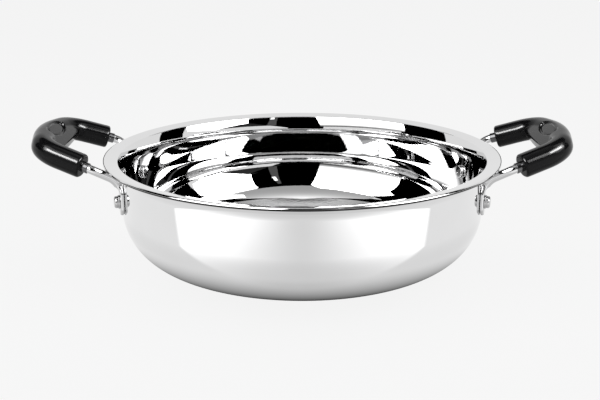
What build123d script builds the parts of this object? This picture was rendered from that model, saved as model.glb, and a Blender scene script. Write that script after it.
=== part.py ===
from build123d import *
import os
from math import asin, atan2, cos, degrees, radians, sin, sqrt, tan

# A stainless steel kadai with two fixed handles, each a moulded phenolic grip on two steel arms.
# Frame: origin at the centre of the flat base, +Z up, handles on +X and -X, front towards -Y.

# Pan: one sheet of steel, pressed to a deep bowl with a flared lip (millimetres)
wall_d = 236.4            # outside of the upright wall
pan_h = 79.0              # from the base to the top of the rolled edge
base_d = 99.0             # flat that the pan rests on
sheet = 1.2               # thickness of the steel
lip_out = 10.8            # how far the lip stands out from the wall, to its rolled edge
rim_bead_d = 2.2          # rolled edge of the lip
lip_corner_out = 3.2      # underside corner between lip and neck, out from the wall
lip_corner_depth = 3.8    # that corner, below the top of the rim
neck_depth = 8.3          # where the neck meets the upright wall, below the top of the rim
lip_round = 2.2           # bend between lip and neck
neck_round = 8.0          # bend between neck and wall
wall_depth = 33.0         # where the upright wall ends and the bowl curves in
knee_share = 0.79         # radius of the curve under the wall, as a share of the height left below it

# Arms: round steel rod, pressed flat at the foot
rod_d = 5.5
arm_spacing = 85.5        # between the two arms of a handle, at their outer bends
foot_t = 2.4              # thickness of the flattened foot
foot_w = 10.0             # width of the flattened foot
foot_above = 4.9          # from the end of the bend down to the rivet
foot_tail = 8.9           # from the rivet to the rounded end of the foot
arm_out = 7.2             # how far the outer bend stands out from the rim
arm_fall = 28.5           # degrees that the arm falls from there towards the wall
rim_gap = 0.64            # between the arm and the rolled edge above it
arm_bend = 13.0           # radius where the arm turns down along the wall
flatten_sweep = 30.0      # degrees of that bend over which the rod is pressed flat
flatten_share = 0.48      # thickness half way through it, as a share of the rod
tang_bend = 8.0           # radius of the outer bend
tang_l = 20.0             # length of rod held inside each leg of the grip

# Rivets and washers
rivet_d = 4.8
rivet_head_d = 7.6
rivet_head_h = 2.4
rivet_tail_d = 9.0        # formed head inside the bowl
rivet_tail_h = 1.8
rivet_head_edge = 1.2
rivet_tail_edge = 0.9
washer_d = 8.6
washer_t = 1.1
rivet_fit = 0.05          # all round the shank

# Grips: one phenolic moulding each, a horseshoe with a web across its bend
grip_w = 14.8             # across a leg
grip_t = 15.0             # thickness of a leg
grip_edge = 6.6           # rounding of the leg's section
grip_tilt = 18.6          # degrees that the grip rises outwards
leg_converge = 13.7       # degrees that each leg closes outwards
grip_apex = 41.0          # outer bend of the arms to the corner of the crest
crest_angle = 12.0        # degrees that each half of the crest falls back
crest_round = 70.0        # radius over the crest
corner_round = 19.0       # radius between leg and crest
leg_end_round = 1.4
web_start = 25.4          # outer bend of the arms to the ends of the web's inner edge
web_bow = 1.4             # how far that edge bows towards the pan
web_bottom = 3.5          # underside of the web, below the middle of the grip
web_top = 2.6             # top of the web at its inner edge, above the middle of the grip
web_edge = 1.3            # rounding of that edge
web_sag = 0.7             # hollow of the thumb rest
badge_l = 30.0            # oval recess on the bend, left plain
badge_w = 11.0
badge_depth = 0.9
badge_u = 35.4            # outer bend of the arms to the middle of the oval
badge_w_height = 6.3      # face of the oval, above the middle of the grip
badge_tilt = 20.0         # degrees that the oval leans towards the pan
badge_rim = 1.7           # groove round the plain oval plate
badge_plate_h = 0.6

# Ferrules and grip screws
ferrule_d = 6.7
ferrule_l = 4.0
ferrule_edge = 0.5
ferrule_gap = 0.3         # straight rod left between ferrule and bend
bore_fit = 0.1            # all round the rod in the grip and in the ferrule
screw_d = 2.5
screw_head_d = 5.0
screw_head_h = 1.6
screw_sink = 0.5          # head below the underside of the leg
screw_slot_w = 0.8
screw_slot_depth = 0.7
screw_reach = 3.2         # screw beyond the rod
screw_fit = 0.1           # all round the screw
screw_at = 12.0           # from the end of the leg to the screw

overrun = 6.0             # how far cutting shapes run past what they cut

# Worked out: bowl
wall_r = wall_d / 2
rim_r = wall_r + lip_out
base_r = base_d / 2
knee_z = pan_h - wall_depth
knee_r = knee_share * knee_z
knee_x = wall_r - knee_r
# The dish under the knee is one arc, centred on the axis, through the edge of the base
dish_a = (base_r**2 - knee_x**2 - knee_z**2 + knee_r**2) / (2 * knee_r)
dish_b = knee_z / knee_r
dish_lead = dish_b**2 - 1
dish_z = (sqrt((dish_a * dish_b)**2 - dish_lead * (dish_a**2 - base_r**2)) - dish_a * dish_b) / dish_lead
dish_r = sqrt(base_r**2 + dish_z**2)
dish_start = degrees(atan2(-dish_z, base_r))
dish_end = degrees(atan2(knee_z - dish_z, knee_x))
bead_r = rim_bead_d / 2
bead_x = rim_r - bead_r
bead_z = pan_h - bead_r

# Worked out: arm, first in the upright plane through the pan's axis and the foot
rod_r = rod_d / 2
foot_r = wall_r + foot_t / 2
fall = radians(arm_fall)
arm_reach = rim_r + arm_out
reach_drop = (rod_r + bead_r + rim_gap - (arm_reach - bead_x) * sin(fall)) / cos(fall)
reach_z = bead_z - reach_drop
bend_start_r = foot_r + arm_bend * (1 - sin(fall))
bend_start_z = reach_z - (arm_reach - bend_start_r) * tan(fall)
bend_end_z = bend_start_z - arm_bend * cos(fall)
bend_centre_r = foot_r + arm_bend
rivet_z = bend_end_z - foot_above

# Worked out: grip, in its own tilted plane, u outwards from the bends and v along Y
tilt = radians(grip_tilt)
foot_turn = asin(arm_spacing / 2 / arm_reach)
converge = radians(leg_converge)
crest = radians(crest_angle)
grip_x = arm_reach * cos(foot_turn)
grip_v = arm_spacing / 2
leg_out = Vector(cos(tilt) * cos(converge), -sin(converge), sin(tilt) * cos(converge))
run_out = Vector(cos(fall) * cos(foot_turn), cos(fall) * sin(foot_turn), sin(fall))
tang_turn = radians(leg_out.get_angle(run_out))
leg_start = tang_bend * tan(tang_turn / 2) + ferrule_gap + ferrule_l
corner_v = (grip_v - grip_apex * tan(converge)) / (1 - tan(crest) * tan(converge))
corner_u = grip_apex - corner_v * tan(crest)
web_v = grip_v - web_start * tan(converge)
half_t = grip_t / 2
screw_seat = screw_sink + screw_head_h
screw_l = half_t - screw_seat + rod_d / 2 + screw_reach

# Worked out: rivet, along its axis from the pan's axis
foot_face = wall_r + foot_t
head_seat = foot_face + washer_t
tail_seat = sqrt((wall_r - sheet)**2 - (rivet_tail_d / 2)**2)

hole_r = rivet_d / 2 + rivet_fit

corners = {
    "left_front": (-1, -1),
    "left_rear": (-1, 1),
    "right_front": (1, -1),
    "right_rear": (1, 1),
}
sides = {"left": -1, "right": 1}


def spot(radius, height, side, end):
    """A point on the upright plane of one foot."""
    return Vector(side * radius * cos(foot_turn), end * radius * sin(foot_turn), height)


def foot_plane(radius, height, side, end):
    """A plane facing out from the pan at one foot, with its y axis up."""
    outward = spot(1, 0, side, end)
    return Plane(
        origin=spot(radius, height, side, end),
        x_dir=Vector(0, 0, 1).cross(outward),
        z_dir=outward,
    )


def bend_plane(angle, side, end):
    """A cross-section of the lower bend, so many degrees before its end."""
    turn = radians(angle)
    radius = bend_centre_r - arm_bend * cos(turn)
    height = bend_end_z + arm_bend * sin(turn)
    outward = spot(1, 0, side, end)
    across = Vector(0, 0, 1).cross(outward)
    along = Vector(0, 0, -1) * cos(turn) - outward * sin(turn)
    return Plane(origin=spot(radius, height, side, end), x_dir=across, z_dir=along)


def grip_plane(side):
    """The middle plane of a grip: x outwards, z up and a little towards the pan."""
    return Plane(
        origin=(side * grip_x, 0, reach_z),
        x_dir=(side * cos(tilt), 0, sin(tilt)),
        z_dir=(-side * sin(tilt), 0, cos(tilt)),
    )


def leg_direction(side, end):
    return Vector(side * leg_out.X, end * leg_out.Y, leg_out.Z)


def leg_point(distance, side, end):
    """A point on a leg's centre line, so far out from the bend of its arm."""
    return spot(arm_reach, reach_z, side, end) + leg_direction(side, end) * distance


def leg_plane(distance, side, end):
    """A cross-section of a leg, with its x axis through the thickness of the grip."""
    return Plane(
        origin=leg_point(distance, side, end),
        x_dir=grip_plane(side).z_dir,
        z_dir=leg_direction(side, end),
    )


def badge_plane(side):
    """Floor of the oval recess on a grip, leaning towards the pan."""
    lean = tilt + radians(badge_tilt)
    middle = grip_plane(side)
    return Plane(
        origin=middle.from_local_coords((badge_u, 0, badge_w_height - badge_depth)),
        x_dir=(side * cos(lean), 0, sin(lean)),
        z_dir=(-side * sin(lean), 0, cos(lean)),
    )


def screw_plane(height, side, end):
    """A plane across one grip screw, at a height above the middle of the grip."""
    up = grip_plane(side).z_dir
    return Plane(
        origin=leg_point(leg_start + screw_at, side, end) + up * height,
        x_dir=leg_direction(side, end),
        z_dir=up,
    )


def rims_outwards(builder, side, end):
    """The circular edges of a piece at one foot, the nearest to the pan's axis first."""
    circles = builder.edges().filter_by(GeomType.CIRCLE)
    return circles.sort_by(lambda edge: spot(1, 0, side, end).dot(edge.center()))


def finish(builder, name):
    builder.part.label = name
    export_step(builder.part, f"parts/{name}.step")


os.makedirs("parts", exist_ok=True)

# Pan body: flat base, shallow dish, knee, upright wall, neck, sloping lip and rolled edge
with BuildPart() as pan_body:
    with BuildSketch(Plane.XZ):
        with BuildLine():
            Line((0, 0), (base_r, 0))
            CenterArc((0, dish_z), dish_r, dish_start, dish_end - dish_start)
            CenterArc((knee_x, knee_z), knee_r, dish_end, -dish_end)
            FilletPolyline(
                (wall_r, knee_z),
                (wall_r, pan_h - neck_depth),
                (wall_r + lip_corner_out, pan_h - lip_corner_depth),
                (bead_x, bead_z - (sheet - bead_r)),
                radius=[neck_round, lip_round],
            )
            offset(amount=sheet, side=Side.LEFT)
        make_face()
        with Locations((bead_x, bead_z)):
            Circle(bead_r)
    revolve(axis=Axis.Z)
    for side, end in corners.values():
        with BuildSketch(foot_plane(wall_r - sheet - overrun, rivet_z, side, end)):
            Circle(hole_r)
        extrude(amount=sheet + 2 * overrun, mode=Mode.SUBTRACT)
finish(pan_body, "pan_body")

# Arms: the tang in the grip, the run under the lip, the bend and the flattened foot
for corner, (side, end) in corners.items():
    with BuildPart() as arm:
        with BuildLine() as rod_line:
            FilletPolyline(
                leg_point(leg_start + tang_l, side, end),
                spot(arm_reach, reach_z, side, end),
                spot(bend_start_r, bend_start_z, side, end),
                radius=tang_bend,
            )
            TangentArc(
                spot(bend_start_r, bend_start_z, side, end),
                bend_plane(flatten_sweep, side, end).origin,
                tangent=spot(bend_start_r - arm_reach, bend_start_z - reach_z, side, end),
            )
        with BuildSketch(Plane(origin=rod_line.line @ 0, z_dir=rod_line.line % 0)):
            Circle(rod_r)
        sweep(path=rod_line.line)
        round_corner = rod_r / sqrt(2)
        with BuildSketch(bend_plane(flatten_sweep, side, end)):
            with BuildLine():
                ThreePointArc((round_corner, -round_corner), (rod_r, 0), (round_corner, round_corner))
                ThreePointArc((round_corner, round_corner), (0, rod_r), (-round_corner, round_corner))
                ThreePointArc((-round_corner, round_corner), (-rod_r, 0), (-round_corner, -round_corner))
                ThreePointArc((-round_corner, -round_corner), (0, -rod_r), (round_corner, -round_corner))
            make_face()
        with BuildSketch(bend_plane(flatten_sweep / 2, side, end)):
            SlotOverall((rod_d + foot_w) / 2, rod_d * flatten_share)
        with BuildSketch(bend_plane(0, side, end)):
            SlotOverall(foot_w, foot_t)
        loft()
        with BuildSketch(bend_plane(0, side, end)):
            SlotOverall(foot_w, foot_t)
        extrude(amount=foot_above + foot_tail)
        with BuildSketch(foot_plane(wall_r - overrun, rivet_z, side, end)):
            with Locations((0, foot_w / 2 - foot_tail)):
                Rectangle(foot_w + overrun, foot_w + overrun, align=(Align.CENTER, Align.MAX))
                Circle(foot_w / 2, mode=Mode.SUBTRACT)
            Circle(hole_r)
        extrude(amount=foot_t + 2 * overrun, mode=Mode.SUBTRACT)
        with BuildSketch(screw_plane(-half_t, side, end)):
            Circle(screw_d / 2 + screw_fit)
        extrude(amount=grip_t, mode=Mode.SUBTRACT)
    finish(arm, f"arm_{corner}")

# Rivets: domed head outside, formed head inside the bowl
for corner, (side, end) in corners.items():
    with BuildPart() as rivet:
        with BuildSketch(foot_plane(tail_seat, rivet_z, side, end)):
            Circle(rivet_d / 2)
        extrude(amount=head_seat - tail_seat)
        with BuildSketch(foot_plane(head_seat, rivet_z, side, end)):
            Circle(rivet_head_d / 2)
        extrude(amount=rivet_head_h)
        fillet(rims_outwards(rivet, side, end)[-1], rivet_head_edge)
        with BuildSketch(foot_plane(tail_seat, rivet_z, side, end)):
            Circle(rivet_tail_d / 2)
        extrude(amount=-rivet_tail_h)
        fillet(rims_outwards(rivet, side, end)[0], rivet_tail_edge)
    finish(rivet, f"rivet_{corner}")

# Washers between the rivet heads and the feet
for corner, (side, end) in corners.items():
    with BuildPart() as washer:
        with BuildSketch(foot_plane(foot_face, rivet_z, side, end)):
            Circle(washer_d / 2)
            Circle(hole_r, mode=Mode.SUBTRACT)
        extrude(amount=washer_t)
    finish(washer, f"washer_{corner}")

# Grips: legs and crest in one sweep, a dished web inside the bend, a plain oval on top
for name, side in sides.items():
    middle = grip_plane(side)
    with BuildPart() as grip:
        with BuildSketch(middle.offset(-web_bottom)):
            with BuildLine():
                Polyline(
                    (web_start, -web_v),
                    (corner_u, -corner_v),
                    (grip_apex, 0),
                    (corner_u, corner_v),
                    (web_start, web_v),
                )
                ThreePointArc((web_start, -web_v), (web_start - web_bow, 0), (web_start, web_v))
            make_face()
        extrude(amount=web_bottom + half_t)
        with BuildSketch(Plane(middle.origin, x_dir=middle.x_dir, z_dir=(0, 1, 0))) as thumb_rest:
            with BuildLine():
                rest_start = (web_start - web_bow, side * -web_top)
                rest_end = (grip_apex, side * -half_t)
                SagittaArc(rest_start, rest_end, side * -web_sag)
                Polyline(
                    rest_end,
                    (grip_apex, side * -(half_t + overrun)),
                    (web_start - overrun, side * -(half_t + overrun)),
                    (web_start - overrun, side * -web_top),
                    rest_start,
                )
            make_face()
        extrude(amount=grip_v, both=True, mode=Mode.SUBTRACT)
        with BuildLine() as horseshoe:
            FilletPolyline(
                leg_point(leg_start, side, -1),
                middle.from_local_coords((corner_u, -side * corner_v)),
                middle.from_local_coords((grip_apex, 0)),
                middle.from_local_coords((corner_u, side * corner_v)),
                leg_point(leg_start, side, 1),
                radius=[corner_round, crest_round, corner_round],
            )
        with BuildSketch(leg_plane(leg_start, side, -1)):
            RectangleRounded(grip_t, grip_w, grip_edge)
        sweep(path=horseshoe.line)
        leg_ends = grip.faces().sort_by(lambda face: side * face.center().X)[:2]
        fillet(leg_ends.edges(), leg_end_round)
        web_rim = grip.faces().sort_by_distance(middle.from_local_coords((web_start - web_bow, 0, 0)))[0]
        fillet(web_rim.edges().sort_by(SortBy.LENGTH)[-2:], web_edge)
        with BuildSketch(badge_plane(side)):
            Ellipse(badge_w / 2, badge_l / 2)
        extrude(amount=overrun, mode=Mode.SUBTRACT)
        with BuildSketch(badge_plane(side)):
            Ellipse(badge_w / 2 - badge_rim, badge_l / 2 - badge_rim)
        extrude(amount=badge_plate_h)
        for end in (-1, 1):
            with BuildSketch(leg_plane(leg_start - overrun, side, end)):
                Circle(rod_r + bore_fit)
            extrude(amount=overrun + tang_l + bore_fit, mode=Mode.SUBTRACT)
            with BuildSketch(screw_plane(-half_t, side, end)):
                Circle(screw_head_d / 2 + screw_fit)
            extrude(amount=screw_seat, mode=Mode.SUBTRACT)
            with BuildSketch(screw_plane(screw_seat - half_t, side, end)):
                Circle(screw_d / 2 + screw_fit)
            extrude(amount=screw_l + screw_fit, mode=Mode.SUBTRACT)
    finish(grip, f"grip_{name}")

# Ferrules: short sleeves on the rods, seated against the ends of the legs
for corner, (side, end) in corners.items():
    with BuildPart() as ferrule:
        with BuildSketch(leg_plane(leg_start - ferrule_l, side, end)):
            Circle(ferrule_d / 2)
        extrude(amount=ferrule_l)
        rims = ferrule.edges().filter_by(GeomType.CIRCLE).sort_by(lambda edge: side * edge.center().X)
        fillet(rims[0], ferrule_edge)
        with BuildSketch(leg_plane(leg_start - ferrule_l, side, end)):
            Circle(rod_r + bore_fit)
        extrude(amount=ferrule_l, mode=Mode.SUBTRACT)
    finish(ferrule, f"ferrule_{corner}")

# Grip screws: slotted, from below, through the rods
for corner, (side, end) in corners.items():
    with BuildPart() as screw:
        with BuildSketch(screw_plane(screw_sink - half_t, side, end)):
            Circle(screw_head_d / 2)
        extrude(amount=screw_head_h)
        with BuildSketch(screw_plane(screw_seat - half_t, side, end)):
            Circle(screw_d / 2)
        extrude(amount=screw_l)
        with BuildSketch(screw_plane(screw_sink - half_t, side, end)):
            Rectangle(screw_head_d + overrun, screw_slot_w)
        extrude(amount=screw_slot_depth, mode=Mode.SUBTRACT)
    finish(screw, f"grip_screw_{corner}")
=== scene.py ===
from math import asin, atan2, cos, degrees, hypot, pi, radians, sin, sqrt, tan

import bpy
from mathutils import Matrix, Vector


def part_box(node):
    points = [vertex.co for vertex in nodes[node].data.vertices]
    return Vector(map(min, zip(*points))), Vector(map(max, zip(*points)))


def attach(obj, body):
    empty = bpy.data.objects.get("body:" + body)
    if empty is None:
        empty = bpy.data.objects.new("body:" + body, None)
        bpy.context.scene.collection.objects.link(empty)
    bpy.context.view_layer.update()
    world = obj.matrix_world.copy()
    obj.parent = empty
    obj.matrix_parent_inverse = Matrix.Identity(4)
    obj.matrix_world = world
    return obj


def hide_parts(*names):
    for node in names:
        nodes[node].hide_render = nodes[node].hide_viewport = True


# A polished steel kadai with two black phenolic grips on riveted rod arms.
# Lengths are in millimetres and are turned into metres where Blender takes them.

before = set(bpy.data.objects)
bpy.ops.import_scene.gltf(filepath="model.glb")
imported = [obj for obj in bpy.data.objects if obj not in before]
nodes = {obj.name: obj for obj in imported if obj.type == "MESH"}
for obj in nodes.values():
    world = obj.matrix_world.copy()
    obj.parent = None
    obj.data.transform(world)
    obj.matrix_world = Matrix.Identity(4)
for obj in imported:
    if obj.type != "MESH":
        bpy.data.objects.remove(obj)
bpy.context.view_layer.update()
MM = 0.001

# Pan
pan_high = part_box("pan_body")[1]
rim_r = pan_high.x / MM
pan_h = pan_high.z / MM
wall_r = 118.2
base_r = 49.5
sheet = 1.2
bead_r = 1.1
roll_start = 98                # degrees: where the rolled edge's round begins, just inside its crest
lip_corner = (121.4, 3.8)      # radius, and depth below the rim
neck_depth = 8.3
lip_round = 2.2
neck_round = 8.0
wall_depth = 33.0
knee_share = 0.79

# The bowl's inner skin. The sheet is stretched unevenly, so it isn't quite parallel to the outer one.
inner_lip = (119.8, 1.4)       # radius, and depth below the rim
inner_lip_round = 0.6
inner_lip_crown = 1.2          # degrees
inner_neck_depth = 7.5
inner_neck_round = 28.0
inner_wall_depth = 26.1
inner_knee_w = 24.4
inner_knee_h = 37.0
dish_top_slope = 28.15         # degrees
dish_low_slope = 11.0
inner_floor_z = 2.0
floor_margin = 1.0             # from the flat floor's last point to the start of the dish

# Painted shade: a dark band in the colour under the rolled edge, where the gap beneath the curl lies in
# shadow
painted_shade_w = 0.6                   # inwards from the centre of the edge's round
painted_shade_fade_w = 0.4
painted_shade_fade_h = 0.4

# Arms
rod_d = 5.5
foot_turn = radians(18.3)
foot_t = 2.4
foot_w = 10.0
foot_above = 4.9
foot_tail = 8.9
blunt_share = 0.02             # the foot's last section, as a share of its thickness
arm_reach = 136.2
arm_drop = 1.7
fall = radians(28.5)
arm_bend = 13.0
flatten_sweep = 30.0           # degrees
tang_bend = 8.0
tang_l = 20.0

# Rivets, washers and ferrules
rivet_head_r = 3.8
rivet_head_h = 2.4
rivet_dome = 1.3
rivet_tail_r = 4.5
rivet_tail_h = 1.8
rivet_tail_round = 1.0
washer_r = 4.3
washer_t = 1.1
washer_bevel = 0.25
ferrule_l = 4.0
ferrule_gap = 0.3

# Grips
tilt = radians(18.6)
converge = radians(13.7)
grip_voxel = 0.4
relax_factor = 0.5
relax_rounds = 10

# How finely the skins are cut
pan_segments = 384
base_steps = 24
dish_points = 72
knee_steps = 96
wall_steps = 12
neck_points = 16
lip_points = 12
lip_slope_points = 14
bead_points = 40
under_lip_steps = 8
tang_steps = 6
tang_bend_steps = 12
rod_steps = 8
flatten_steps = 40
foot_steps = 8
tip_steps = 16
half_section_steps = 12
fastener_segments = 48
fastener_round_points = 12
tail_face_steps = 3
bevel_points = 5

# Worked out, as the solids are
knee_z = pan_h - wall_depth
knee_r = knee_share * knee_z
knee_x = wall_r - knee_r
dish_a = (base_r**2 - knee_x**2 - knee_z**2 + knee_r**2) / (2 * knee_r)
dish_b = knee_z / knee_r
dish_lead = dish_b**2 - 1
dish_z = (sqrt((dish_a * dish_b)**2 - dish_lead * (dish_a**2 - base_r**2)) - dish_a * dish_b) / dish_lead
dish_r = hypot(base_r, dish_z)
bead = Vector((rim_r - bead_r, pan_h - bead_r))
inner_wall_r = wall_r - sheet
inner_wall_z = pan_h - inner_wall_depth
foot_r = wall_r + foot_t / 2
reach_z = pan_h - arm_drop
bend_start_r = foot_r + arm_bend * (1 - sin(fall))
bend_start_z = reach_z - (arm_reach - bend_start_r) * tan(fall)
bend_end_z = bend_start_z - arm_bend * cos(fall)
rivet_z = bend_end_z - foot_above
washer_seat = wall_r + foot_t
head_seat = washer_seat + washer_t
tail_seat = sqrt(inner_wall_r**2 - rivet_tail_r**2)
leg_out = Vector((cos(tilt) * cos(converge), -sin(converge), sin(tilt) * cos(converge)))
arm_out = Vector((cos(fall) * cos(foot_turn), cos(fall) * sin(foot_turn), sin(fall)))
tang_turn = leg_out.angle(arm_out)
tang_bend_l = tang_bend * tan(tang_turn / 2)
leg_start = tang_bend_l + ferrule_gap + ferrule_l

corners = {
    "left_front": (-1, -1),
    "left_rear": (-1, 1),
    "right_front": (1, -1),
    "right_rear": (1, 1),
}


# Meshes

def put(name, verts, faces, normals=None):
    """A smooth-shaded object from points in millimetres."""
    mesh = bpy.data.meshes.new(name)
    mesh.from_pydata([Vector(v) * MM for v in verts], [], faces)
    mesh.polygons.foreach_set("use_smooth", [True] * len(mesh.polygons))
    mesh.update()
    if normals:
        mesh.normals_split_custom_set_from_vertices([Vector(n).normalized() for n in normals])
    obj = bpy.data.objects.new(name, mesh)
    bpy.context.scene.collection.objects.link(obj)
    return obj


def arc(centre, radius, start, end, count, outward=1):
    """Points of a profile on an arc, in degrees, each with its normal."""
    points = []
    for i in range(count):
        turn = radians(start + (end - start) * i / (count - 1))
        normal = Vector((cos(turn), sin(turn)))
        points.append((Vector(centre) + normal * radius, normal * outward))
    return points


def rounded_corner(before, corner, after, radius):
    """Centre of the round at a corner and the two points where it starts and ends."""
    back = (Vector(before) - Vector(corner)).normalized()
    on = (Vector(after) - Vector(corner)).normalized()
    half = back.angle(on) / 2
    reach = radius / tan(half)
    centre = Vector(corner) + (back + on).normalized() * radius / sin(half)
    return centre, Vector(corner) + back * reach, Vector(corner) + on * reach


def heading(centre, point):
    """Direction from one profile point to another, in degrees."""
    return degrees(atan2(point[1] - centre[1], point[0] - centre[0]))


def straight(start, end, normal, count=2):
    """Points on a straight run of a profile, without its first."""
    return [(Vector(start).lerp(Vector(end), i / count), Vector(normal)) for i in range(1, count + 1)]


def crowned(start, end, ease, count):
    """Points of a shallow arc that bulges to the left of its run, easing so many degrees each way."""
    chord = Vector(end) - Vector(start)
    radius = chord.length / 2 / sin(radians(ease))
    left = Vector((-chord.y, chord.x)).normalized()
    centre = (Vector(start) + Vector(end)) / 2 - left * radius * cos(radians(ease))
    first, last = heading(centre, start), heading(centre, end)
    return arc(centre, radius, first, last, count)


def lathe(name, profile, segments, place=Matrix.Identity(4)):
    """Turns a profile of (radius, height) points with normals about the z axis, closed at both poles."""
    on_axis = 1e-6
    verts, normals, faces, rings = [], [], [], []
    spin = place.to_3x3()
    for point, normal in profile:
        if point[0] < on_axis:
            rings.append([len(verts)] * segments)
            verts.append(place @ Vector((0, 0, point[1])))
            normals.append(spin @ Vector((0, 0, normal[1])))
            continue
        rings.append(range(len(verts), len(verts) + segments))
        for j in range(segments):
            turn = 2 * pi * j / segments
            verts.append(place @ Vector((point[0] * cos(turn), point[0] * sin(turn), point[1])))
            normals.append(spin @ Vector((normal[0] * cos(turn), normal[0] * sin(turn), normal[1])))
    for low, high in zip(rings, rings[1:]):
        for j in range(segments):
            k = (j + 1) % segments
            face = [low[j], high[j], high[k], low[k]]
            faces.append(list(dict.fromkeys(face)))
    return put(name, verts, faces, normals)


def tube(name, sections):
    """A closed skin over rings of points."""
    count = len(sections[0])
    verts = [point for ring in sections for point in ring]
    faces = [list(range(count))[::-1]]
    for i in range(len(sections) - 1):
        for j in range(count):
            k = (j + 1) % count
            faces.append([i * count + j, i * count + k, (i + 1) * count + k, (i + 1) * count + j])
    faces.append(list(range((len(sections) - 1) * count, len(sections) * count)))
    return put(name, verts, faces)


def spot(radius, height, side, end):
    """A point on the upright plane of one foot."""
    return Vector((side * radius * cos(foot_turn), end * radius * sin(foot_turn), height))


def facing_out(radius, side, end):
    """Places a lathe's z axis along one rivet, outwards."""
    outward = spot(1, 0, side, end)
    turn = outward.to_track_quat("Z", "Y").to_matrix().to_4x4()
    return Matrix.Translation(spot(radius, rivet_z, side, end)) @ turn


# Pan: the inner surface from the axis outwards, then over the rolled edge and back under

def inner_bowl():
    """From the axis over the flat floor and the dish, and up the knee to the wall."""
    knee_c = Vector((inner_wall_r - inner_knee_w, inner_wall_z))
    top, low = radians(dish_top_slope), radians(dish_low_slope)
    start = -atan2(inner_knee_h, inner_knee_w * tan(top))
    knee = []
    for i in range(knee_steps + 1):
        turn = start * (1 - i / knee_steps)
        across = Vector((cos(turn) / inner_knee_w, sin(turn) / inner_knee_h)).normalized()
        knee.append((knee_c + Vector((inner_knee_w * cos(turn), inner_knee_h * sin(turn))), -across))
    join = knee[0][0]
    dish_radius = (join.y - inner_floor_z) / (cos(low) - cos(top))
    dish_c = join + Vector((-sin(top), cos(top))) * dish_radius
    dish = arc(dish_c, dish_radius, dish_low_slope - 90, dish_top_slope - 90, dish_points, -1)
    floor_end = (dish[0][0].x - floor_margin, inner_floor_z)
    floor = [(Vector((0, inner_floor_z)), Vector((0, 1)))]
    floor += straight((0, inner_floor_z), floor_end, (0, 1), base_steps)
    return floor + dish + knee[1:]


def inner_rim():
    """Up the wall, round the neck and out over the lip to the tangent point on the rolled edge."""
    wall_end = (inner_wall_r, inner_wall_z)
    neck = (inner_wall_r, pan_h - inner_neck_depth)
    lip = Vector((inner_lip[0], pan_h - inner_lip[1]))
    to_bead = bead - lip
    rise = atan2(to_bead.y, to_bead.x) + asin(bead_r / to_bead.length)
    lip_end = lip + Vector((cos(rise), sin(rise))) * sqrt(to_bead.length**2 - bead_r**2)
    neck_c, neck_a, neck_b = rounded_corner(wall_end, neck, lip, inner_neck_round)
    lip_c, lip_a, lip_b = rounded_corner(neck, lip, lip_end, inner_lip_round)
    skin = straight(wall_end, (inner_wall_r, neck_a.y), (-1, 0), wall_steps)
    skin += arc(neck_c, inner_neck_round, 180, heading(neck_c, neck_b), neck_points)[1:]
    skin += arc(lip_c, inner_lip_round, heading(lip_c, lip_a), heading(lip_c, lip_b), lip_points)
    skin += crowned(lip_b, lip_end, inner_lip_crown, lip_slope_points)
    return skin


def outer_skin():
    """Round the rolled edge, back under the lip and down to the base."""
    dish_start = heading((0, dish_z), (base_r, 0))
    dish_end = heading((0, dish_z), (knee_x, knee_z))
    neck = (wall_r, pan_h - neck_depth)
    lip = Vector((lip_corner[0], pan_h - lip_corner[1]))
    lip_end = Vector((bead.x, bead.y - (sheet - bead_r)))
    neck_c, neck_a, neck_b = rounded_corner((wall_r, knee_z), neck, lip, neck_round)
    lip_c, lip_a, lip_b = rounded_corner(neck, lip, lip_end, lip_round)
    along = (lip_end - lip).normalized()
    meet = lip_end - along * bead_r
    skin = arc(bead, bead_r, roll_start, heading(bead, meet), bead_points)
    skin += straight(meet, lip_b, (along.y, -along.x), under_lip_steps)
    skin += arc(lip_c, lip_round, heading(lip_c, lip_b), heading(lip_c, lip_a), lip_points, -1)
    skin += arc(neck_c, neck_round, heading(neck_c, neck_b), 180, neck_points, -1)
    skin += straight(neck_a, (wall_r, knee_z), (1, 0), wall_steps)
    skin += arc((knee_x, knee_z), knee_r, 0, dish_end, dish_points)[1:]
    skin += arc((0, dish_z), dish_r, dish_end, dish_start, dish_points)[1:]
    skin += straight((base_r, 0), (0, 0), (0, -1), base_steps)
    return skin


pan = lathe("pan_skin", inner_bowl() + inner_rim() + outer_skin(), pan_segments)
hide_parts("pan_body")


# Arms: round rod, pressed flat where it turns down along the wall

def rod(side, end):
    """Points from the tang's end to where the rod turns down, each with its width and thickness there."""
    leg = Vector((side * leg_out.x, end * leg_out.y, leg_out.z))
    reach = spot(arm_reach, reach_z, side, end)
    rod_end = spot(bend_start_r, bend_start_z, side, end)
    run_down = (rod_end - reach).normalized()
    start = reach + leg * (leg_start + tang_l)
    bend_a = reach + leg * tang_bend_l
    bend_b = reach + run_down * tang_bend_l
    bend_c = reach + (leg + run_down).normalized() * (tang_bend / cos(tang_turn / 2))
    line = [start.lerp(bend_a, i / tang_steps) for i in range(tang_steps)]
    for i in range(tang_bend_steps + 1):
        turned = (bend_a - bend_c).slerp(bend_b - bend_c, i / tang_bend_steps)
        line.append(bend_c + turned.normalized() * tang_bend)
    line += [bend_b.lerp(rod_end, i / rod_steps) for i in range(1, rod_steps)]
    return [(point, rod_d, rod_d) for point in line]


def flattening(side, end):
    """The bend down along the wall, over which the round rod is pressed flat."""
    points = []
    for i in range(flatten_steps + 1):
        turn = (pi / 2 - fall) * (1 - i / flatten_steps)
        radius = foot_r + arm_bend * (1 - cos(turn))
        point = spot(radius, bend_end_z + arm_bend * sin(turn), side, end)
        share = min(degrees(turn) / flatten_sweep, 1)
        ease = share * share * (3 - 2 * share)
        points.append((point, foot_w + (rod_d - foot_w) * ease, foot_t + (rod_d - foot_t) * share**3))
    return points


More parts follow.
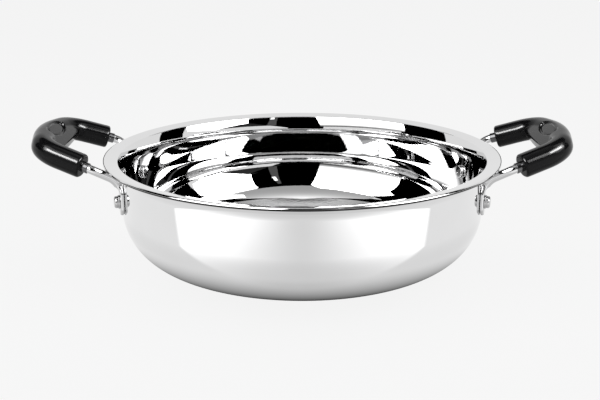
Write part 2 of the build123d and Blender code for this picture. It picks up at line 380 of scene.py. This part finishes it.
def foot(side, end):
    """The flat foot, down to its rounded tip."""
    tip_start_z = bend_end_z - (foot_above + foot_tail - foot_w / 2)
    tip_end_z = tip_start_z - (foot_w - foot_t) / 2
    points = []
    for i in range(1, foot_steps + 1):
        height = bend_end_z + (tip_start_z - bend_end_z) * i / foot_steps
        points.append((spot(foot_r, height, side, end), foot_w, foot_t))
    for i in range(1, tip_steps + 1):
        turn = pi / 2 * i / tip_steps
        height = tip_start_z + (tip_end_z - tip_start_z) * sin(turn)
        points.append((spot(foot_r, height, side, end), foot_t + (foot_w - foot_t) * cos(turn), foot_t))
    for i in range(1, foot_steps + 1):
        turn = pi / 2 * i / foot_steps
        height = tip_end_z - foot_t / 2 * sin(turn)
        last = foot_t * max(cos(turn), blunt_share)
        points.append((spot(foot_r, height, side, end), last, last))
    return points


def arm_sections(points, across):
    """Rings square to the arm: two half rounds, set apart by what the section is wider than thick."""
    line = [point for point, wide, thick in points]
    rings = []
    for i, (point, wide, thick) in enumerate(points):
        ahead = (line[min(i + 1, len(line) - 1)] - line[max(i - 1, 0)]).normalized()
        sideways = (across - ahead * across.dot(ahead)).normalized()
        out = sideways.cross(ahead)
        ring = []
        for half in (0, 1):
            shift = sideways * (wide - thick) / 2 * (1 - 2 * half)
            for k in range(half_section_steps + 1):
                turn = pi * half - pi / 2 + pi * k / half_section_steps
                ring.append(point + shift + (sideways * cos(turn) + out * sin(turn)) * thick / 2)
        rings.append(ring)
    return rings


arms = []
for corner, (side, end) in corners.items():
    across = Vector((0, 0, 1)).cross(spot(1, 0, side, end))
    points = rod(side, end) + flattening(side, end) + foot(side, end)
    arm = tube(f"arm_skin_{corner}", arm_sections(points, across))
    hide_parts(f"arm_{corner}")
    arms.append(arm)


# Rivets and washers

def rivet_head():
    """A low cylinder with a rounded rim, standing on its seat."""
    profile = [(Vector((0, rivet_head_h)), Vector((0, 1)))]
    dome_c = (rivet_head_r - rivet_dome, rivet_head_h - rivet_dome)
    profile += arc(dome_c, rivet_dome, 90, 0, fastener_round_points)
    profile += straight((rivet_head_r, rivet_head_h - rivet_dome), (rivet_head_r, 0), (1, 0))
    profile += straight((rivet_head_r, 0), (0, 0), (0, -1))
    return profile


def rivet_tail():
    """The formed head inside the bowl, hanging from its seat."""
    low = -rivet_tail_h
    profile = [(Vector((0, 0)), Vector((0, 1)))]
    profile += straight((0, 0), (rivet_tail_r, 0), (0, 1))
    profile += straight((rivet_tail_r, 0), (rivet_tail_r, low + rivet_tail_round), (1, 0))
    round_c = (rivet_tail_r - rivet_tail_round, low + rivet_tail_round)
    profile += arc(round_c, rivet_tail_round, 0, -90, fastener_round_points)
    profile += straight((rivet_tail_r - rivet_tail_round, low), (0, low), (0, -1), tail_face_steps)
    return profile


def washer_disc():
    """A flat disc with both its edges eased."""
    flat_r = washer_r - washer_bevel
    profile = [(Vector((0, washer_t)), Vector((0, 1)))]
    profile += straight((0, washer_t), (flat_r, washer_t), (0, 1))
    profile += arc((flat_r, washer_t - washer_bevel), washer_bevel, 90, 0, bevel_points)
    profile += arc((flat_r, washer_bevel), washer_bevel, 0, -90, bevel_points)
    profile += straight((flat_r, 0), (0, 0), (0, -1))
    return profile


rivets, washers = [], []
for corner, (side, end) in corners.items():
    outside, inside = facing_out(head_seat, side, end), facing_out(tail_seat, side, end)
    rivet = lathe(f"rivet_head_{corner}", rivet_head(), fastener_segments, outside)
    inner = lathe(f"rivet_tail_{corner}", rivet_tail(), fastener_segments, inside)
    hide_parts(f"rivet_{corner}")
    for piece in (rivet, inner):
        rivets.append(piece)
    seat = facing_out(washer_seat, side, end)
    washer = lathe(f"washer_skin_{corner}", washer_disc(), fastener_segments, seat)
    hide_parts(f"washer_{corner}")
    washers.append(washer)

# Grips: the solids' own shape, remeshed finely so that its edges and joins are soft as in a moulding
grips = []
for name in ("left", "right"):
    grip = bpy.data.objects.new(f"grip_skin_{name}", nodes[f"grip_{name}"].data.copy())
    bpy.context.scene.collection.objects.link(grip)
    remesh = grip.modifiers.new("fine", "REMESH")
    remesh.mode = "VOXEL"
    remesh.voxel_size = grip_voxel * MM
    remesh.use_smooth_shade = True
    relax = grip.modifiers.new("relax", "SMOOTH")
    relax.factor = relax_factor
    relax.iterations = relax_rounds
    bpy.context.view_layer.update()
    shaped = bpy.data.meshes.new_from_object(grip.evaluated_get(bpy.context.evaluated_depsgraph_get()))
    grip.modifiers.clear()
    grip.data = shaped
    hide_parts(f"grip_{name}")
    grips.append(grip)

for piece in [pan] + arms + rivets + washers + grips:
    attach(piece, "root")


# Materials

def new_material(name):
    """A Principled material with its object coordinates, ready for its textures."""
    material = bpy.data.materials.new(name)
    material.use_nodes = True
    tree = material.node_tree
    coords = tree.nodes.new("ShaderNodeTexCoord")
    return material, tree, tree.nodes["Principled BSDF"], coords.outputs["Object"]


def noise(tree, vector, scale, detail=2.0):
    """A noise texture, its scale in features per metre."""
    node = tree.nodes.new("ShaderNodeTexNoise")
    node.inputs["Scale"].default_value = scale
    node.inputs["Detail"].default_value = detail
    tree.links.new(vector, node.inputs["Vector"])
    return node.outputs["Fac"]


def spread(tree, value, low, high):
    """Maps 0 to 1 to a range."""
    node = tree.nodes.new("ShaderNodeMapRange")
    node.inputs["To Min"].default_value = low
    node.inputs["To Max"].default_value = high
    tree.links.new(value, node.inputs["Value"])
    return node.outputs["Result"]


def ranged(tree, value, low, high, to_low, to_high):
    """Maps a length, between two given in millimetres, smoothly to a level."""
    node = tree.nodes.new("ShaderNodeMapRange")
    node.interpolation_type = "SMOOTHSTEP"
    node.inputs["From Min"].default_value = low * MM
    node.inputs["From Max"].default_value = high * MM
    node.inputs["To Min"].default_value = to_low
    node.inputs["To Max"].default_value = to_high
    tree.links.new(value, node.inputs["Value"])
    return node.outputs["Result"]


def feed(tree, socket, value):
    """Gives a socket a plain number or a colour, or links it to another socket."""
    if isinstance(value, tuple):
        socket.default_value = (*value, 1)
    elif isinstance(value, (int, float)):
        socket.default_value = value
    else:
        tree.links.new(value, socket)


def combined(tree, operation, first, second):
    """One maths step on values or plain numbers."""
    node = tree.nodes.new("ShaderNodeMath")
    node.operation = operation
    feed(tree, node.inputs[0], first)
    feed(tree, node.inputs[1], second)
    return node.outputs["Value"]


def mixed(tree, share, first, second, kind="FLOAT"):
    """The first where the share is 0, the second where it is 1."""
    node = tree.nodes.new("ShaderNodeMix")
    node.data_type = kind
    feed(tree, node.inputs["A"], first)
    feed(tree, node.inputs["B"], second)
    tree.links.new(share, node.inputs["Factor"])
    return node.outputs["Result"]


def bump(tree, shader, height, strength, distance):
    """Fine relief of the surface, its distance in millimetres."""
    node = tree.nodes.new("ShaderNodeBump")
    node.inputs["Strength"].default_value = strength
    node.inputs["Distance"].default_value = distance * MM
    tree.links.new(height, node.inputs["Height"])
    tree.links.new(node.outputs["Normal"], shader.inputs["Normal"])


def painted_shade_share(tree, coords):
    """1 along the band of painted shade under the rolled edge, else 0."""
    split = tree.nodes.new("ShaderNodeSeparateXYZ")
    tree.links.new(coords, split.inputs["Vector"])
    x, y, z = split.outputs
    squares = combined(tree, "ADD", combined(tree, "MULTIPLY", x, x), combined(tree, "MULTIPLY", y, y))
    radius = combined(tree, "SQRT", squares, 0)
    outermost = ranged(tree, radius, bead.x - painted_shade_w, bead.x - painted_shade_w + painted_shade_fade_w, 0, 1)
    lowest = ranged(tree, z, bead.y, bead.y + painted_shade_fade_h, 1, 0)
    return combined(tree, "MULTIPLY", outermost, lowest)


def steel(name, light, rough, painted_shade=False):
    """Buffed stainless steel: near-mirror, with faint cloudiness from polishing."""
    cloud_scale, haze_scale, grain_scale = 60, 220, 900
    cloud_depth, cool_tint, painted_shade_dark = 0.03, 0.005, 0.02
    least_rough, most_rough = rough * 0.5, rough * 1.5
    grain_strength, grain_height = 0.02, 0.2
    material, tree, shader, coords = new_material(name)
    shader.inputs["Metallic"].default_value = 1.0
    cloudy, clean = (light - cloud_depth,) * 3, (light, light, light + cool_tint)
    tint = mixed(tree, noise(tree, coords, cloud_scale), cloudy, clean, "RGBA")
    # Painted shade: the colour is darkened under the rolled edge, where the gap beneath the curl is in
    # shadow
    if painted_shade:
        tint = mixed(tree, painted_shade_share(tree, coords), tint, (painted_shade_dark,) * 3, "RGBA")
    haze = spread(tree, noise(tree, coords, haze_scale, detail=4), least_rough, most_rough)
    tree.links.new(tint, shader.inputs["Base Color"])
    tree.links.new(haze, shader.inputs["Roughness"])
    bump(tree, shader, noise(tree, coords, grain_scale, detail=3), grain_strength, grain_height)
    return material


def phenolic(name):
    """Glossy moulded black phenolic with a faint orange-peel surface."""
    mottle_scale, haze_scale, peel_scale = 300, 500, 1500
    blackest, least_black = (0.003, 0.003, 0.0035), (0.007, 0.007, 0.0075)
    least_rough, most_rough = 0.1, 0.15
    peel_strength, peel_height = 0.05, 0.3
    material, tree, shader, coords = new_material(name)
    shader.inputs["IOR"].default_value = 1.2
    tint = mixed(tree, noise(tree, coords, mottle_scale, detail=3), blackest, least_black, "RGBA")
    haze = spread(tree, noise(tree, coords, haze_scale, detail=4), least_rough, most_rough)
    tree.links.new(tint, shader.inputs["Base Color"])
    tree.links.new(haze, shader.inputs["Roughness"])
    bump(tree, shader, noise(tree, coords, peel_scale, detail=3), peel_strength, peel_height)
    return material


def dress(objects, material):
    """Gives pieces of the scene their only material."""
    for obj in objects:
        obj.data.materials.clear()
        obj.data.materials.append(material)


dress([pan], steel("polished_pan", light=0.76, rough=0.015, painted_shade=True))
# The rods and rivets are the pan's steel with darker colours: painted shade for the dark surroundings they
# mirror
dress(arms, steel("rod_steel_painted_darker", light=0.55, rough=0.02))
dress(rivets + washers, steel("rivet_steel_painted_darker", light=0.46, rough=0.05))
dress(grips, phenolic("black_phenolic"))
ferrule_steel = steel("dark_ferrule", light=0.12, rough=0.16)
screw_steel = steel("plain_screw", light=0.7, rough=0.25)
for corner in corners:
    nodes[f"ferrule_{corner}"].material_slots[0].material = ferrule_steel
    nodes[f"grip_screw_{corner}"].material_slots[0].material = screw_steel


# Stage

pale = 0.93                    # the floor and the background, as the camera sees them


def towards(azimuth, elevation, distance):
    """A point so far from the bowl: azimuth from the front, positive to the right, both in degrees."""
    turn, rise = radians(azimuth), radians(elevation)
    return Vector((cos(rise) * sin(turn), -cos(rise) * cos(turn), sin(rise))) * distance


def card_material(name, level, fade=None, hot_spot=None):
    """Emission that is even, fades towards the card's foot, or falls off from a hot spot."""
    material = bpy.data.materials.new(name)
    material.use_nodes = True
    tree = material.node_tree
    tree.nodes.clear()
    glow = tree.nodes.new("ShaderNodeEmission")
    glow.inputs["Strength"].default_value = level
    out = tree.nodes.new("ShaderNodeOutputMaterial")
    tree.links.new(glow.outputs["Emission"], out.inputs["Surface"])
    coords = tree.nodes.new("ShaderNodeTexCoord").outputs["Object"]
    if fade:
        low, high, foot_level = fade
        height = tree.nodes.new("ShaderNodeSeparateXYZ")
        tree.links.new(coords, height.inputs["Vector"])
        strength = ranged(tree, height.outputs["Z"], low, high, foot_level, level)
        tree.links.new(strength, glow.inputs["Strength"])
    if hot_spot:
        centre, reach, edge_level = hot_spot
        apart = tree.nodes.new("ShaderNodeVectorMath")
        apart.operation = "DISTANCE"
        apart.inputs[1].default_value = centre * MM
        tree.links.new(coords, apart.inputs[0])
        near = spread(tree, combined(tree, "DIVIDE", apart.outputs["Value"], reach * MM), 1, 0)
        fall_off = 3
        share = combined(tree, "POWER", near, fall_off)
        tree.links.new(spread(tree, share, edge_level, level), glow.inputs["Strength"])
    return material


def card(name, outline, distance, level, **shading):
    """A panel seen in reflections only. Its corners are (azimuth, elevation) directions in degrees."""
    rim = [towards(azimuth, elevation, distance) for azimuth, elevation in outline]
    middle = sum(rim, Vector()).normalized() * distance
    count = len(rim)
    faces = [(i, (i + 1) % count, count) for i in range(count)]
    obj = put(name, rim + [middle], faces)
    obj.data.materials.append(card_material(name, level, **shading))
    obj.visible_camera = False
    obj.visible_diffuse = False
    obj.visible_shadow = False
    obj.visible_transmission = False


near_card, middle_card, far_card = 2900, 3300, 3600

# Softboxes to the left and right, which the bowl mirrors, and a dimmer card beyond the right one. The left
# one fades out towards its foot.
softbox_level, side_level = 6.0, 3.0
fade_low, fade_high, foot_level = 11, 27, 0.1
foot_fade = (near_card * sin(radians(fade_low)), near_card * sin(radians(fade_high)), foot_level)
left_corners = [
    (-76, 12), (-81, 42), (-91, 46), (-92, 62), (-75, 65),
    (-45, 66), (-24, 66), (-13.5, 61), (-9, 56), (-13, 10),
]
right_corners = [(39.5, 25.5), (47, 57), (90, 54.6), (95, 40), (87, 18), (64.5, 12)]
side_corners = [(86, 42), (86, 66), (114, 70), (114, 44)]
card("softbox_left", left_corners, near_card, softbox_level, fade=foot_fade)
card("softbox_right", right_corners, near_card, softbox_level)
card("side_right", side_corners, near_card, side_level)

# A narrow light in the dark front, before a longer and dimmer one
slit_corners = [(21.5, 35), (21, 44), (24, 44), (24.5, 35)]
grey_corners = [(18.5, 15), (19.5, 52), (23, 52), (25, 15)]
slit_level, grey_level = 2.0, 0.1
card("slit", slit_corners, near_card, slit_level)
card("grey_slit", grey_corners, middle_card, grey_level)

# Overhead, brightest at its back edge, which is higher up than its front edge
front_edge, back_edge, rise_rate = 59.5, 70, 1.3
overhead_level, edge_level = 1.4, 0.45
corner_step = 10
overhead = []
for azimuth in range(-180, 180, corner_step):
    behind = max(0, -cos(radians(azimuth)))
    overhead.append((azimuth, front_edge + (back_edge - front_edge) * min(1, rise_rate * behind)))
hot_reach = middle_card * 0.85
hot_spot = (towards(180, back_edge, middle_card), hot_reach, edge_level)
card("overhead", overhead, middle_card, overhead_level, hot_spot=hot_spot)

# The dark studio between the lights
black, near_black = 0.0, 0.03
card("black_front", [(-15, 3), (-15, 62), (52, 62), (41, 24), (10, 6), (10, 3)], far_card, black)
card("black_low_right", [(10, 13), (41, 26), (64, 13)], far_card, near_black)
card("black_left", [(-113, 5), (-113, 60), (-73, 62), (-73, 5)], far_card, black)
card("black_right", [(90, 5), (92, 62), (112, 62), (112, 5)], far_card, black)
back_from, back_to, back_step, back_overlap = 108, 246, 23, 1
back_low, back_high = 37, 74
for number, start in enumerate(range(back_from, back_to, back_step)):
    end = start + back_step + back_overlap
    back_corners = [(start, back_low), (start, back_high), (end, back_high), (end, back_low)]
    card(f"black_back_{number}", back_corners, far_card, black)


def floor_look():
    """Plain and pale to the eye, with a little satin that takes the bowl's real shadow. Polished metal sees
    a painted pattern instead: a painted shadow close to the bowl, and two painted pools of light in front
    of it where the softboxes would light it."""
    contact_r, clear_r, open_r = 72, 136, 250
    contact_level, clear_level = 0.02, 0.9
    lobe_x, lobe_y, lobe_edge = 190, -118, 6
    floor_side, floor_centre, floor_lobe = 0.99, 0.88, 1.5
    plain_share, satin_grey = 0.95, 0.85
    material = bpy.data.materials.new("pale_floor")
    material.use_nodes = True
    tree = material.node_tree
    tree.nodes.clear()
    coords = tree.nodes.new("ShaderNodeTexCoord").outputs["Object"]
    place = tree.nodes.new("ShaderNodeSeparateXYZ")
    apart = tree.nodes.new("ShaderNodeVectorMath")
    apart.operation = "LENGTH"
    tree.links.new(coords, place.inputs["Vector"])
    tree.links.new(coords, apart.inputs[0])
    # Painted light, seen only in mirrors: a painted shadow round the bowl and two painted pools of light in
    # front of it
    from_axis = combined(tree, "ABSOLUTE", place.outputs["X"], 0)
    ahead = ranged(tree, place.outputs["Y"], lobe_y - lobe_edge, lobe_y + lobe_edge, 1, 0)
    lobes = ranged(tree, from_axis, 0, lobe_x, floor_centre, floor_lobe)
    lit = mixed(tree, ahead, floor_side, lobes)
    contact = ranged(tree, apart.outputs["Value"], contact_r, clear_r, contact_level, clear_level)
    opening = ranged(tree, apart.outputs["Value"], clear_r, open_r, 1, 1 / clear_level)
    mirrored = combined(tree, "MULTIPLY", lit, combined(tree, "MULTIPLY", contact, opening))
    path = tree.nodes.new("ShaderNodeLightPath")
    glow = tree.nodes.new("ShaderNodeEmission")
    tree.links.new(mixed(tree, path.outputs["Is Glossy Ray"], pale, mirrored), glow.inputs["Strength"])
    satin = tree.nodes.new("ShaderNodeBsdfDiffuse")
    satin.inputs["Color"].default_value = (satin_grey, satin_grey, satin_grey, 1)
    plain = combined(tree, "MULTIPLY", path.outputs["Is Camera Ray"], plain_share)
    mix = tree.nodes.new("ShaderNodeMixShader")
    out = tree.nodes.new("ShaderNodeOutputMaterial")
    tree.links.new(combined(tree, "ADD", plain, path.outputs["Is Glossy Ray"]), mix.inputs[0])
    tree.links.new(satin.outputs[0], mix.inputs[1])
    tree.links.new(glow.outputs[0], mix.inputs[2])
    tree.links.new(mix.outputs[0], out.inputs["Surface"])
    return material


floor_half = 6000
floor_corners = [(x * floor_half, y * floor_half, 0) for x, y in ((-1, -1), (1, -1), (1, 1), (-1, 1))]
floor = put("floor", floor_corners, [(0, 1, 2, 3)])
floor.data.materials.append(floor_look())


def studio_world():
    """As pale as the floor to the eye, brighter in mirrors, and a low even fill for everything else."""
    fill_level, mirrored_level = 0.45, 1.15
    world = bpy.data.worlds.new("studio")
    bpy.context.scene.world = world
    world.use_nodes = True
    tree = world.node_tree
    tree.nodes.clear()
    path = tree.nodes.new("ShaderNodeLightPath")
    seen = combined(tree, "MAXIMUM", path.outputs["Is Camera Ray"], path.outputs["Is Transmission Ray"])
    level = mixed(tree, path.outputs["Is Glossy Ray"], spread(tree, seen, fill_level, pale), mirrored_level)
    sky = tree.nodes.new("ShaderNodeBackground")
    out = tree.nodes.new("ShaderNodeOutputWorld")
    tree.links.new(level, sky.inputs["Strength"])
    tree.links.new(sky.outputs[0], out.inputs["Surface"])


studio_world()


def area_lamp(name, place, aim, size, power):
    """A rectangular lamp at one point that faces another."""
    light = bpy.data.lights.new(name, "AREA")
    light.shape = "RECTANGLE"
    light.size, light.size_y = size[0] * MM, size[1] * MM
    light.energy = power
    obj = bpy.data.objects.new(name, light)
    obj.location = Vector(place) * MM
    obj.rotation_euler = (Vector(aim) - Vector(place)).to_track_quat("-Z", "Y").to_euler()
    bpy.context.scene.collection.objects.link(obj)
    return obj


# Soft lamps on the bowl, each by its place, size and power. The cards stand for them in reflections.
bowl_middle = (0, 0, 50)
soft_lamps = {
    "lamp_left": ((-750, -600, 650), (800, 800), 4.0),
    "lamp_right": ((800, -450, 600), (700, 800), 4.0),
    "lamp_overhead": ((0, 150, 1100), (1200, 1000), 5.0),
}
for name, (place, size, power) in soft_lamps.items():
    lamp = area_lamp(name, place, bowl_middle, size, power)
    lamp.visible_glossy = False

# Highlights for the grips alone, a soft one with a bright core on each side, each by its distance, size and
# radiance. The cards are too dim for a plastic that reflects so little.
grip_lights = bpy.data.collections.new("lit_grips")
for grip in grips:
    grip_lights.objects.link(grip)
streak_azimuths = {"left": -46, "right": 62}
streak_elevation = 38
streak_parts = {
    "soft": (1300, (1200, 550), 16),
    "core": (1290, (800, 300), 80),
}
for side_name, azimuth in streak_azimuths.items():
    for part, (distance, size, radiance) in streak_parts.items():
        place = towards(azimuth, streak_elevation, distance)
        power = radiance * pi * size[0] * size[1] * MM**2
        streak = area_lamp(f"streak_{side_name}_{part}", place, (0, 0, 0), size, power)
        streak.visible_diffuse = False
        streak.light_linking.receiver_collection = grip_lights

# Camera, as fitted to the photo
photo_w = 600                  # pixels
focal_l = 979.5                # pixels
centre_shift = -2.2            # pixels
pitch = 16.45                  # degrees below level
camera = bpy.data.cameras.new("camera")
camera.sensor_width = 36.0
camera.lens = focal_l / photo_w * camera.sensor_width
camera.shift_x = centre_shift / photo_w
eye = bpy.data.objects.new("camera", camera)
eye.location = Vector((0, -627, 230.7)) * MM
eye.rotation_euler = (radians(90 - pitch), 0, 0)
bpy.context.scene.collection.objects.link(eye)
bpy.context.scene.camera = eye
bpy.context.scene.view_settings.view_transform = "Standard"
